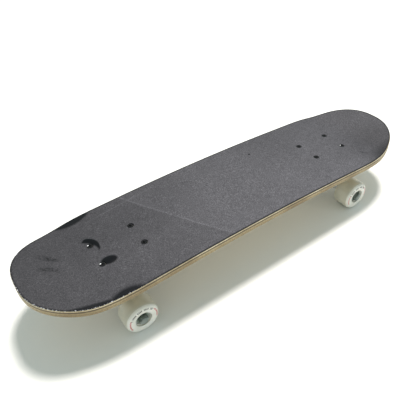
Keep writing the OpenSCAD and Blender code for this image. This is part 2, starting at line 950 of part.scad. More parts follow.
// Crown cage: its open pockets keep the balls apart
module cage() {
    color("#8a6f3a")
        each_bearing()
            difference() {
                translate([0, 0, cage_low])
                    tube(ball_circle_r + cage_half_w, ball_circle_r - cage_half_w,
                         cage_high - cage_low);
                each_ball()
                    sphere(r = ball_d / 2 + cage_clearance, $fn = 36);
            }
}

// ---- The sub-parts in their places ----

module front_riser_pad() {
    truck_at(1)
        riser_pad();
}

module front_baseplate() {
    truck_at(1)
        baseplate();
}

module front_pivot_cup() {
    truck_at(1)
        pivot_cup();
}

module front_kingpin() {
    truck_at(1)
        kingpin();
}

module front_kingpin_nut() {
    truck_at(1)
        kingpin_nut();
}

module front_board_bushing() {
    truck_at(1)
        board_bushing();
}

module front_road_bushing() {
    truck_at(1)
        road_bushing();
}

module front_board_washer() {
    truck_at(1)
        board_washer();
}

module front_road_washer() {
    truck_at(1)
        road_washer();
}

module front_hanger() {
    truck_at(1)
        hanger();
}

module front_axle() {
    truck_at(1)
        axle();
}

module front_axle_nuts() {
    truck_at(1)
        axle_nuts();
}

module front_speed_washers() {
    truck_at(1)
        speed_washers();
}

module front_inner_races() {
    truck_at(1)
        inner_races();
}

module front_bearing_spacers() {
    truck_at(1)
        bearing_spacers();
}

module rear_riser_pad() {
    truck_at(-1)
        riser_pad();
}

module rear_baseplate() {
    truck_at(-1)
        baseplate();
}

module rear_pivot_cup() {
    truck_at(-1)
        pivot_cup();
}

module rear_kingpin() {
    truck_at(-1)
        kingpin();
}

module rear_kingpin_nut() {
    truck_at(-1)
        kingpin_nut();
}

module rear_board_bushing() {
    truck_at(-1)
        board_bushing();
}

module rear_road_bushing() {
    truck_at(-1)
        road_bushing();
}

module rear_board_washer() {
    truck_at(-1)
        board_washer();
}

module rear_road_washer() {
    truck_at(-1)
        road_washer();
}

module rear_hanger() {
    truck_at(-1)
        hanger();
}

module rear_axle() {
    truck_at(-1)
        axle();
}

module rear_axle_nuts() {
    truck_at(-1)
        axle_nuts();
}

module rear_speed_washers() {
    truck_at(-1)
        speed_washers();
}

module rear_inner_races() {
    truck_at(-1)
        inner_races();
}

module rear_bearing_spacers() {
    truck_at(-1)
        bearing_spacers();
}

module front_left_wheel() {
    wheel_at(1, 1)
        wheel();
}

module front_left_outer_races() {
    wheel_at(1, 1)
        outer_races();
}

module front_left_shields() {
    wheel_at(1, 1)
        shields();
}

module front_left_balls() {
    wheel_at(1, 1)
        ball_set();
}

module front_left_cages() {
    wheel_at(1, 1)
        cage();
}

module front_right_wheel() {
    wheel_at(1, -1)
        wheel();
}

module front_right_outer_races() {
    wheel_at(1, -1)
        outer_races();
}

module front_right_shields() {
    wheel_at(1, -1)
        shields();
}

module front_right_balls() {
    wheel_at(1, -1)
        ball_set();
}

module front_right_cages() {
    wheel_at(1, -1)
        cage();
}

module rear_left_wheel() {
    wheel_at(-1, 1)
        wheel();
}

module rear_left_outer_races() {
    wheel_at(-1, 1)
        outer_races();
}

module rear_left_shields() {
    wheel_at(-1, 1)
        shields();
}

module rear_left_balls() {
    wheel_at(-1, 1)
        ball_set();
}

module rear_left_cages() {
    wheel_at(-1, 1)
        cage();
}

module rear_right_wheel() {
    wheel_at(-1, -1)
        wheel();
}

module rear_right_outer_races() {
    wheel_at(-1, -1)
        outer_races();
}

module rear_right_shields() {
    wheel_at(-1, -1)
        shields();
}

module rear_right_balls() {
    wheel_at(-1, -1)
        ball_set();
}

module rear_right_cages() {
    wheel_at(-1, -1)
        cage();
}

deck();
grip_tape();
deck_bolts();
deck_nuts();
front_riser_pad();
front_baseplate();
front_pivot_cup();
front_kingpin();
front_kingpin_nut();
front_board_bushing();
front_road_bushing();
front_board_washer();
front_road_washer();
front_hanger();
front_axle();
front_axle_nuts();
front_speed_washers();
front_inner_races();
front_bearing_spacers();
rear_riser_pad();
rear_baseplate();
rear_pivot_cup();
rear_kingpin();
rear_kingpin_nut();
rear_board_bushing();
rear_road_bushing();
rear_board_washer();
rear_road_washer();
rear_hanger();
rear_axle();
rear_axle_nuts();
rear_speed_washers();
rear_inner_races();
rear_bearing_spacers();
front_left_wheel();
front_left_outer_races();
front_left_shields();
front_left_balls();
front_left_cages();
front_right_wheel();
front_right_outer_races();
front_right_shields();
front_right_balls();
front_right_cages();
rear_left_wheel();
rear_left_outer_races();
rear_left_shields();
rear_left_balls();
rear_left_cages();
rear_right_wheel();
rear_right_outer_races();
rear_right_shields();
rear_right_balls();
rear_right_cages();
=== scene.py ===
import bpy, bmesh
from math import radians, sin, cos, sqrt, pi
from mathutils import Matrix, Vector
from mathutils.kdtree import KDTree


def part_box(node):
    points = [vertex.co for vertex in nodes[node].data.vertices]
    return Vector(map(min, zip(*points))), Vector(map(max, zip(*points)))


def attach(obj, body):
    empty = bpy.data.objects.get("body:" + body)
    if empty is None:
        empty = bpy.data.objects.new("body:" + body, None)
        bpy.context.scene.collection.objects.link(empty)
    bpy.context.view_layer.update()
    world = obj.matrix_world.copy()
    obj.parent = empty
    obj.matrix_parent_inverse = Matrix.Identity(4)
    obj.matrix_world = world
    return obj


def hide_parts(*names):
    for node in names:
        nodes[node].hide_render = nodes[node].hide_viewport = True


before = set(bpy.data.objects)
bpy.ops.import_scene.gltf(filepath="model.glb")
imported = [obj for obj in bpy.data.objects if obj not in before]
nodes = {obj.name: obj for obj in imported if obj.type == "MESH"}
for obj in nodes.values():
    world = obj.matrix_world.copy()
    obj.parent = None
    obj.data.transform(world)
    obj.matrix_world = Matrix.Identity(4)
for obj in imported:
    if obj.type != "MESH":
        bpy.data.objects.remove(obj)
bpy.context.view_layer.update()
print("stage: frame loaded,", len(nodes), "nodes")

mm = 0.001


# small helpers

def hexColour(text):
    # sRGB hex to linear, with alpha
    values = [int(text[i:i + 2], 16) / 255 for i in (1, 3, 5)]
    return tuple(v / 12.92 if v <= 0.04045 else ((v + 0.055) / 1.055) ** 2.4 for v in values) + (1.0,)


def addNode(tree, kind, inputs=None, stops=(), **settings):
    # adds a shader node, sets its properties and fills or links its sockets; a node given for a socket
    # is linked by its first output, and a colour ramp takes its stops as (position, hex colour) pairs
    node = tree.nodes.new("ShaderNode" + kind)
    for name, value in settings.items():
        setattr(node, name, value)
    for socket, value in (inputs or {}).items():
        if isinstance(value, bpy.types.Node):
            value = value.outputs[0]
        if isinstance(value, bpy.types.NodeSocket):
            tree.links.new(value, node.inputs[socket])
        else:
            node.inputs[socket].default_value = value
    for i, (position, colour) in enumerate(stops):
        # a new ramp has two elements already
        element = node.color_ramp.elements[i] if i < 2 else node.color_ramp.elements.new(position)
        element.position = position
        element.color = hexColour(colour)
    return node


def newMaterial(name):
    # a material with its surface shader and output, ready for a pattern
    material = bpy.data.materials.new(name)
    material.use_nodes = True
    tree = material.node_tree
    tree.nodes.clear()
    surface = addNode(tree, "BsdfPrincipled")
    addNode(tree, "OutputMaterial", {"Surface": surface.outputs[0]})
    return material, tree, surface


def patches(tree, coords, places):
    # the strongest of several upright ovals over the board, each falling to 0 at its rim and given as
    # x, y, half length, half width (in millimetres), turn (in degrees), softness and strength
    strongest = 0.0
    tall = 1000.0
    for x, y, halfX, halfY, turn, soft, strength in places:
        place = addNode(tree, "Mapping", {"Vector": coords, "Location": (x * mm, y * mm, 0.0),
                                          "Rotation": (0.0, 0.0, radians(turn)),
                                          "Scale": (halfX * mm, halfY * mm, tall)}, vector_type="TEXTURE")
        reach = addNode(tree, "VectorMath", {0: place}, operation="LENGTH").outputs["Value"]
        patch = addNode(tree, "MapRange", {"Value": reach, "From Min": 1.0, "From Max": 1.0 - soft,
                                           "To Max": strength}, interpolation_type="SMOOTHSTEP")
        strongest = addNode(tree, "Math", {0: strongest, 1: patch}, operation="MAXIMUM")
    return strongest


def finishPiece(name, bm, material, smooth=True):
    # turns a bmesh in millimetres into a scene object in metres, placed in its mesh
    bmesh.ops.scale(bm, vec=(mm, mm, mm), verts=bm.verts)
    mesh = bpy.data.meshes.new(name)
    bm.to_mesh(mesh)
    bm.free()
    mesh.materials.append(material)
    if smooth:
        mesh.shade_smooth()
        mesh.set_sharp_from_angle(angle=radians(35))
    piece = bpy.data.objects.new(name, mesh)
    bpy.context.scene.collection.objects.link(piece)
    return piece


# camera, light and floor

camera = dict(place=(-0.328, -0.424, 0.5219), turn=-32.64, height=39.99, roll=-3.15, lens=39.30)
studio = dict(floorColour="#f2f2ef", floorSize=8.0, domeStrength=0.64, domeColour="#e3f1ef",
              keyPower=95.0, keySize=0.52, keyPlace=(0.60, 0.37, 2.8), keyColour="#fff9f6")

camData = bpy.data.cameras.new("studioCamera")
camData.lens = camera["lens"]
camData.sensor_width = 36.0
camObject = bpy.data.objects.new("studioCamera", camData)
camObject.matrix_world = (Matrix.Translation(camera["place"])
                          @ Matrix.Rotation(radians(camera["turn"]), 4, "Z")
                          @ Matrix.Rotation(radians(90 - camera["height"]), 4, "X")
                          @ Matrix.Rotation(radians(camera["roll"]), 4, "Z"))
bpy.context.scene.collection.objects.link(camObject)
bpy.context.scene.camera = camObject

world = bpy.data.worlds.new("studioDome")
world.use_nodes = True
world.node_tree.nodes["Background"].inputs["Color"].default_value = hexColour(studio["domeColour"])
world.node_tree.nodes["Background"].inputs["Strength"].default_value = studio["domeStrength"]
bpy.context.scene.world = world

# a large round softbox high over the board's nose end
keyData = bpy.data.lights.new("softKey", "AREA")
keyData.shape = "DISK"
keyData.size = studio["keySize"]
keyData.energy = studio["keyPower"]
keyData.color = hexColour(studio["keyColour"])[:3]
keyObject = bpy.data.objects.new("softKey", keyData)
keyObject.location = studio["keyPlace"]
keyObject.rotation_euler = Vector(studio["keyPlace"]).to_track_quat("Z", "Y").to_euler()
bpy.context.scene.collection.objects.link(keyObject)

floorMaterial, tree, surface = newMaterial("matteWhitePaper")
coords = addNode(tree, "TexCoord").outputs["Object"]
# matt paper: the tooth is about 1.1 mm, coarser than a real sheet's
paperTooth = addNode(tree, "TexNoise", {"Vector": coords, "Scale": 900.0, "Detail": 3.0})
surface.inputs["Base Color"].default_value = hexColour(studio["floorColour"])
surface.inputs["Roughness"].default_value = 0.9
surface.inputs["Specular IOR Level"].default_value = 0.1
bump = addNode(tree, "Bump", {"Height": paperTooth, "Strength": 0.05, "Distance": 0.0002})
tree.links.new(bump.outputs["Normal"], surface.inputs["Normal"])
floorBm = bmesh.new()
bmesh.ops.create_grid(floorBm, x_segments=1, y_segments=1, size=studio["floorSize"] / 2 / mm)
floor = finishPiece("paperFloor", floorBm, floorMaterial, smooth=False)

bpy.context.scene.view_settings.view_transform = "Standard"
bpy.context.scene.view_settings.look = "None"
print("stage: camera, light and floor")


# finishes

tapeLook = dict(
    # places are x, y, half length, half width, turn, softness and strength, as patches() takes them
    # the first places are smoother film whose dark colour is a painted reflection
    darkReflectionPatches=[(-232, 92, 37, 20, 2, 0.25, 0.9), (-226, -92, 32, 20, 0, 0.4, 0.9),
            (-268, -87, 58, 16, -14, 0.3, 0.855), (-217.8, -19.7, 13.5, 9.0, -15, 0.35, 1.0)],
    foldOuter=(-236.7, 17.8, 22, 22, 0, 0.12, 1.0), foldInner=(-249.0, 7.2, 30, 30, 0, 0.12, 1.0),
    foldEnd=(-223.5, 19.5, 20, 20, 0, 0.15, 1.0),
    noseShade=[(280, -88, 66, 50, 25, 0.9, 0.855), (292, -50, 86, 70, 0, 1.0, 0.378)],
    pinhole=(81.9, 52.0, 2.4, 2.4, 0, 0.3, 1.0),
    scuffs=[(-284, 30, 26, 9, -35, 0.9, 0.855), (-290, 8, 24, 8, -30, 0.9, 0.855),
            (246, -60, 20, 7, -60, 0.9, 0.855)],
    creaseHighlight=(-157, 71, 100, 1.6, 4.2, 0.9, 0.9),
    # the ring round each bolt is painted shade
    boltX=(-227.8, -164.3, 169.3, 232.8), boltY=(-20.65, 20.65), boltRingShade=(5.4, 5.2, 0, 0.2, 1.0),
    seamX=-104.0, seamTurn=28.5, seamHalf=2.6, lineLift=0.4, scuffAndDarkReflectionColour="#05060a",
    trimmedColour="#0c0c0f", filedColour="#c3c4ca")


def makeGripTape(look):
    # silicon-carbide grit bonded to a black film: a dark satin that greys under a broad light,
    # with a salt of bright facets, smoother where the film is stretched, painted dark there as a painted
    # reflection
    material, tree, surface = newMaterial("siliconCarbideGripTape")
    coords = addNode(tree, "TexCoord").outputs["Object"]

    # real 80-grit grains are about 0.2 mm, drawn at 1.3 and 3 mm so that they show
    grit = addNode(tree, "TexNoise", {"Vector": coords, "Scale": 1 / (1.3 * mm), "Detail": 3.0,
                                      "Roughness": 0.7})
    clump = addNode(tree, "TexNoise", {"Vector": coords, "Scale": 1 / (3 * mm), "Detail": 2.0,
                                       "Roughness": 0.6})
    mottle = addNode(tree, "TexNoise", {"Vector": coords, "Scale": 1 / (8 * mm), "Detail": 4.0,
                                        "Roughness": 0.65})
    wear = addNode(tree, "TexNoise", {"Vector": coords, "Scale": 1 / (110 * mm), "Detail": 3.0,
                                      "Roughness": 0.55})
    sparkle = addNode(tree, "TexVoronoi", {"Vector": coords, "Scale": 1 / (2.3 * mm)})
    base = addNode(tree, "ValToRGB", {"Fac": grit},
                   stops=[(0.28, "#28282b"), (0.5, "#434246"), (0.72, "#646367")])

    # a crescent fold at one rear outer bolt, smoother and painted dark as a painted reflection: an oval
    # less another, cut off by a third
    inner = patches(tree, coords, [look["foldInner"]])
    beyond = addNode(tree, "Math", {0: 1.0, 1: inner}, operation="SUBTRACT")
    smooth = patches(tree, coords, [look["foldOuter"]])
    for mask in (beyond, patches(tree, coords, [look["foldEnd"]])):
        smooth = addNode(tree, "Math", {0: smooth, 1: mask}, operation="MULTIPLY")
    # smoother places painted dark as a painted reflection, the edges beside each kick and a blister, and a
    # ring of painted shade round each bolt
    rings = [(x, y) + look["boltRingShade"] for x in look["boltX"] for y in look["boltY"]]
    smooth = addNode(tree, "Math", {0: smooth, 1: patches(tree, coords, look["darkReflectionPatches"] + rings)},
                     operation="MAXIMUM")
    streak = addNode(tree, "MapRange", {"Value": mottle, "From Min": 0.42, "From Max": 0.58})
    scuffs = patches(tree, coords, look["scuffs"])
    scuffed = addNode(tree, "Math", {0: scuffs, 1: streak}, operation="MULTIPLY")
    # the dark colour: painted reflection and painted shade from the masks above, real scuffs, a real
    # pinhole, and painted shade over the nose
    dark = smooth
    for mask in (scuffed, patches(tree, coords, look["noseShade"] + [look["pinhole"]])):
        dark = addNode(tree, "Math", {0: dark, 1: mask}, operation="MAXIMUM")

    # two lengths of tape meet along a slanting seam, and the nose one is a shade lighter
    seam = addNode(tree, "Mapping", {"Vector": coords, "Location": (look["seamX"] * mm, 0.0, 0.0),
                                     "Rotation": (0.0, 0.0, radians(look["seamTurn"]))},
                   vector_type="TEXTURE")
    across = addNode(tree, "SeparateXYZ", {0: seam})
    noseLength = addNode(tree, "MapRange", {"Value": across, "From Min": -2 * mm, "From Max": 2 * mm})
    fromSeam = addNode(tree, "Math", {0: across}, operation="ABSOLUTE")
    seamLine = addNode(tree, "MapRange", {"Value": fromSeam, "From Min": look["seamHalf"] * mm,
                                          "From Max": 0.2 * mm})
    # the crease is a painted highlight along the concave near the far edge, lightening the tape with the
    # seam line
    creaseHighlight = patches(tree, coords, [look["creaseHighlight"]])
    line = addNode(tree, "Math", {0: seamLine, 1: creaseHighlight}, operation="MAXIMUM")

    # what is read, between which two values, and how far the tape's brightness goes with it
    place = addNode(tree, "SeparateXYZ", {0: coords})
    shade = 1.0
    fades = [(place.outputs[0], -0.33, -0.02, 0.66, 1.12),  # darker towards the tail
             (place.outputs[0], 0.17, 0.29, 1.0, 0.80),  # and at the nose
             (place.outputs[1], 0.08, -0.08, 0.93, 1.17),  # lighter along the right-hand side: painted sheen
             (noseLength, 0.0, 1.0, 0.92, 1.08), (clump, 0.0, 1.0, 0.7, 1.3),
             (mottle, 0.0, 1.0, 0.7, 1.3), (wear, 0.0, 1.0, 0.75, 1.25)]
    for reading, start, stop, first, last in fades:
        fade = addNode(tree, "MapRange", {"Value": reading, "From Min": start, "From Max": stop,
                                          "To Min": first, "To Max": last})
        shade = addNode(tree, "Math", {0: shade, 1: fade}, operation="MULTIPLY")
    shade = addNode(tree, "Math", {0: line, 1: look["lineLift"], 2: shade}, operation="MULTIPLY_ADD")
    shaded = addNode(tree, "VectorMath", {0: base, 3: shade}, operation="SCALE")

    # the rim was filed when the tape was trimmed, so pale film and grit dust show along it,
    # most of it at the tail, where the board gets dragged
    rim = addNode(tree, "Attribute", attribute_name="rimDistance").outputs["Fac"]
    chips = addNode(tree, "TexNoise", {"Vector": coords, "Scale": 1 / (2.2 * mm), "Detail": 3.0,
                                       "Roughness": 0.7})
    dragged = addNode(tree, "MapRange", {"Value": place, "From Min": -0.16, "From Max": -0.26,
                                         "To Max": 9.0})
    centred = addNode(tree, "Math", {0: chips, 1: 0.5}, operation="SUBTRACT")
    reach = addNode(tree, "Math", {0: centred, 1: dragged}, operation="MULTIPLY")
    depth = addNode(tree, "Math", {0: reach, 1: rim}, operation="SUBTRACT")
    filed = addNode(tree, "MapRange", {"Value": depth, "From Max": 0.4})
    trimmed = addNode(tree, "MapRange", {"Value": rim, "From Min": 0.9, "From Max": 2.8, "To Min": 1.0,
                                         "To Max": 0.0})
    colour = shaded
    for mask, tint in ((dark, "scuffAndDarkReflectionColour"), (trimmed, "trimmedColour"), (filed, "filedColour")):
        layer = addNode(tree, "Mix", {0: mask, 6: colour, 7: hexColour(look[tint])}, data_type="RGBA")
        colour = layer.outputs[2]
    tree.links.new(colour, surface.inputs["Base Color"])

    # each glint is a facet lying flat, shinier than the film round it
    glint = addNode(tree, "MapRange", {"Value": sparkle, "From Min": 0.10, "From Max": 0.16, "To Min": 0.12,
                                       "To Max": 0.0})
    film = addNode(tree, "MapRange", {"Value": smooth, "To Min": 0.52, "To Max": 0.22})
    rough = addNode(tree, "Math", {0: film, 1: glint}, operation="SUBTRACT")
    tree.links.new(rough.outputs[0], surface.inputs["Roughness"])
    surface.inputs["Specular IOR Level"].default_value = 0.22
    relief = addNode(tree, "MapRange", {"Value": smooth, "To Min": 0.55, "To Max": 0.08})
    bump = addNode(tree, "Bump", {"Height": grit, "Strength": relief, "Distance": 0.5 * mm})
    tree.links.new(bump.outputs["Normal"], surface.inputs["Normal"])
    return material


def makeVeneer():
    # rotary-cut maple face veneer under clear lacquer: pale, with long fine grain and a low sheen
    material, tree, surface = newMaterial("lacqueredMapleVeneer")
    coords = addNode(tree, "TexCoord").outputs["Object"]
    # grain lines about 2 mm apart and 60 mm long
    stretch = addNode(tree, "Mapping", {"Vector": coords,
                                        "Scale": (1 / (60 * mm), 1 / (2 * mm), 1 / (60 * mm))})
    grain = addNode(tree, "TexNoise", {"Vector": stretch, "Scale": 1.0, "Detail": 6.0, "Roughness": 0.6})
    broad = addNode(tree, "Mapping", {"Vector": coords,
                                      "Scale": (1 / (300 * mm), 1 / (22 * mm), 1 / (300 * mm))})
    figure = addNode(tree, "TexNoise", {"Vector": broad, "Scale": 1.0, "Detail": 3.0, "Distortion": 0.6})
    face = addNode(tree, "ValToRGB", {"Fac": grain},
                   stops=[(0.25, "#b9ab92"), (0.5, "#cdc0a6"), (0.8, "#dbcfb8")])
    cast = addNode(tree, "ValToRGB", {"Fac": figure}, stops=[(0.3, "#d9cbb2"), (0.7, "#ffffff")])
    mixed = addNode(tree, "Mix", {0: 1.0, 6: face, 7: cast}, data_type="RGBA", blend_type="MULTIPLY")
    tree.links.new(mixed.outputs[2], surface.inputs["Base Color"])
    shine = addNode(tree, "MapRange", {"Value": grain, "To Min": 0.32, "To Max": 0.46})
    tree.links.new(shine.outputs[0], surface.inputs["Roughness"])
    surface.inputs["Coat Weight"].default_value = 0.35
    surface.inputs["Coat Roughness"].default_value = 0.2
    bump = addNode(tree, "Bump", {"Height": grain, "Strength": 0.15, "Distance": 0.2 * mm})
    tree.links.new(bump.outputs["Normal"], surface.inputs["Normal"])
    return material


def makePlyEdge():
    # sawn and sanded edge of seven maple plies: pale long-grain bands between browner end-grain ones
    # and dark glue lines; the top band is the palest, a painted highlight on the rounded arris
    material, tree, surface = newMaterial("sandedMaplePlyEdge")
    coords = addNode(tree, "TexCoord").outputs["Object"]
    ply = addNode(tree, "Attribute", attribute_name="ply").outputs["Fac"]
    fibre = addNode(tree, "TexNoise", {"Vector": coords, "Scale": 1 / (2.5 * mm), "Detail": 5.0,
                                       "Roughness": 0.7})
    stain = addNode(tree, "TexNoise", {"Vector": coords, "Scale": 1 / (55 * mm), "Detail": 3.0,
                                       "Roughness": 0.6})
    # the palest stops at the top are a painted highlight on the rounded arris
    bands = addNode(tree, "ValToRGB", {"Fac": ply},
                    stops=[(0.0, "#6f6047"), (0.08, "#8f7d5b"), (0.14, "#b5a37c"), (0.28, "#b1a07a"),
                           (0.30, "#988664"), (0.42, "#9f8d69"), (0.44, "#c3b189"), (0.57, "#c0ae87"),
                           (0.59, "#9f8c66"), (0.69, "#a8966f"), (0.74, "#5b4c36"), (0.84, "#4c3f2f"),
                           (0.88, "#cdbd97"), (0.94, "#f4e8cb"), (1.0, "#e8dcc0")])
    tone = addNode(tree, "ValToRGB", {"Fac": stain}, stops=[(0.3, "#c9bfae"), (0.65, "#ffffff")])
    fleck = addNode(tree, "ValToRGB", {"Fac": fibre}, stops=[(0.25, "#c4b8a4"), (0.6, "#ffffff")])
    toned = addNode(tree, "Mix", {0: 1.0, 6: bands, 7: tone}, data_type="RGBA", blend_type="MULTIPLY")
    flecked = addNode(tree, "Mix", {0: 1.0, 6: toned.outputs[2], 7: fleck}, data_type="RGBA",
                      blend_type="MULTIPLY")
    tree.links.new(flecked.outputs[2], surface.inputs["Base Color"])
    shine = addNode(tree, "MapRange", {"Value": fibre, "To Min": 0.42, "To Max": 0.62})
    tree.links.new(shine.outputs[0], surface.inputs["Roughness"])
    bump = addNode(tree, "Bump", {"Height": fibre, "Strength": 0.3, "Distance": 0.25 * mm})
    tree.links.new(bump.outputs["Normal"], surface.inputs["Normal"])
    return material


def makeMetal(name, dark, light, grainSize, roughness, bumpDepth, metallic=1.0):
    # bare or plated metal: the grain size and depth say how its surface was made
    material, tree, surface = newMaterial(name)
    coords = addNode(tree, "TexCoord").outputs["Object"]
    grain = addNode(tree, "TexNoise", {"Vector": coords, "Scale": 1 / (grainSize * mm), "Detail": 5.0,
                                       "Roughness": 0.6})
    # the plating's tone drifts over about 14 mm
    cloud = addNode(tree, "TexNoise", {"Vector": coords, "Scale": 1 / (14 * mm), "Detail": 3.0})
    tone = addNode(tree, "ValToRGB", {"Fac": cloud}, stops=[(0.35, dark), (0.65, light)])
    tree.links.new(tone.outputs["Color"], surface.inputs["Base Color"])
    surface.inputs["Metallic"].default_value = metallic
    shine = addNode(tree, "MapRange", {"Value": grain, "From Min": 0.3, "From Max": 0.7,
                                       "To Min": roughness * 0.8, "To Max": roughness * 1.25})
    tree.links.new(shine.outputs[0], surface.inputs["Roughness"])
    bump = addNode(tree, "Bump", {"Height": grain, "Strength": 0.5, "Distance": bumpDepth * mm})
    tree.links.new(bump.outputs["Normal"], surface.inputs["Normal"])
    return material


def makeBoltFinish():
    # black oxide on steel: a thin matt black, with a painted highlight, a small white spot, on three of the
    # heads
    material, tree, surface = newMaterial("blackOxideSteel")
    coords = addNode(tree, "TexCoord").outputs["Object"]
    bloom = addNode(tree, "TexNoise", {"Vector": coords, "Scale": 1 / (0.8 * mm), "Detail": 4.0,
                                       "Roughness": 0.6})
    coat = addNode(tree, "ValToRGB", {"Fac": bloom}, stops=[(0.3, "#070708"), (0.7, "#151517")])
    # the white spots are painted highlights on the heads
    paintedGlints = patches(tree, coords, [(-230.4, 23.0, 1.7, 0.9, 0, 0.4, 1.0),
                                  (-230.6, -18.6, 1.6, 0.9, 0, 0.4, 1.0),
                                  (231.4, -18.4, 1.6, 0.9, 0, 0.4, 1.0)])
    coatWithPaintedGlints = addNode(tree, "Mix", {0: paintedGlints, 6: coat, 7: hexColour("#f2f3f4")}, data_type="RGBA")
    tree.links.new(coatWithPaintedGlints.outputs[2], surface.inputs["Base Color"])
    surface.inputs["Specular IOR Level"].default_value = 0.3
    shine = addNode(tree, "MapRange", {"Value": bloom, "To Min": 0.20, "To Max": 0.32})
    tree.links.new(shine.outputs[0], surface.inputs["Roughness"])
    bump = addNode(tree, "Bump", {"Height": bloom, "Strength": 0.4, "Distance": 0.03 * mm})
    tree.links.new(bump.outputs["Normal"], surface.inputs["Normal"])
    return material


def makeMoulded(name, dark, light, grainSize, roughness, bumpDepth, subsurface=0.0):
    # moulded or cast plastic and rubber: a faint tooth from the mould and slow colour drift
    material, tree, surface = newMaterial(name)
    coords = addNode(tree, "TexCoord").outputs["Object"]
    tooth = addNode(tree, "TexNoise", {"Vector": coords, "Scale": 1 / (grainSize * mm), "Detail": 4.0,
                                       "Roughness": 0.55})
    # the moulding's colour drifts over about 11 mm
    cloud = addNode(tree, "TexNoise", {"Vector": coords, "Scale": 1 / (11 * mm), "Detail": 3.0})
    tone = addNode(tree, "ValToRGB", {"Fac": cloud}, stops=[(0.3, dark), (0.7, light)])
    tree.links.new(tone.outputs["Color"], surface.inputs["Base Color"])
    shine = addNode(tree, "MapRange", {"Value": tooth, "From Min": 0.3, "From Max": 0.7,
                                       "To Min": roughness * 0.85, "To Max": roughness * 1.15})
    tree.links.new(shine.outputs[0], surface.inputs["Roughness"])
    if subsurface:
        surface.inputs["Subsurface Weight"].default_value = subsurface
        surface.inputs["Subsurface Radius"].default_value = (1.0, 0.8, 0.6)
        surface.inputs["Subsurface Scale"].default_value = 3 * mm
    bump = addNode(tree, "Bump", {"Height": tooth, "Strength": 0.4, "Distance": bumpDepth * mm})
    tree.links.new(bump.outputs["Normal"], surface.inputs["Normal"])
    return material


finishes = {
    "grip": makeGripTape(tapeLook),
    "maple": makeVeneer(),
    "plyEdge": makePlyEdge(),
    "blackOxide": makeBoltFinish(),
    "zinc": makeMetal("zincPlatedSteel", "#bfc1c3", "#cccdcd", 0.25, 0.28, 0.006),
    "nutSteel": makeMetal("dullZincedSteel", "#6f7976", "#8b9491", 0.5, 0.34, 0.04),
    "castAlloy": makeMetal("tumbledCastAluminium", "#b9bbbd", "#d0d1d2", 0.9, 0.42, 0.12),
    "rubber": makeMoulded("mouldedRiserRubber", "#131314", "#1e1e20", 0.5, 0.62, 0.08),
    "nylon": makeMoulded("mouldedBlackNylon", "#151517", "#202023", 0.4, 0.45, 0.04),
    "bushing": makeMoulded("pouredBushingUrethane", "#cdbf9f", "#ddd2b6", 0.6, 0.42, 0.04, subsurface=0.3),
    "bearing": makeMetal("groundBearingSteel", "#b2b4b6", "#c8cacb", 0.25, 0.18, 0.01),
    "shield": makeMetal("pressedSteelShield", "#6d7a70", "#829085", 0.4, 0.34, 0.02, metallic=0.8),
    "cage": makeMoulded("mouldedNylonCage", "#8a6c35", "#a08146", 0.4, 0.4, 0.03),
}
print("stage: finishes")


# wheels: poured urethane turned on a lathe, printed on the outer face

wheelShape = dict(radius=25.0, halfWidth=16.0, lipWidth=7.5, lipDepth=5.0, bearingRadius=11.03,
                  bearingEnd=13.0, dishWidth=1.5, dishRim=0.7, gap=5.0, hubWall=1.6, steps=96, lipSteps=8,
                  # how far each corner of the turned section is eased
                  hubEase=0.3, seatEase=0.25, dishEase=0.2, faceEase=0.4, shoulder=4.0,
                  # the print: rings as lowest and highest radius, steps in degrees
                  barRing=(17.2, 20.6), redRing=(19.2, 21.2), barStep=6.0, dashStep=5.0)


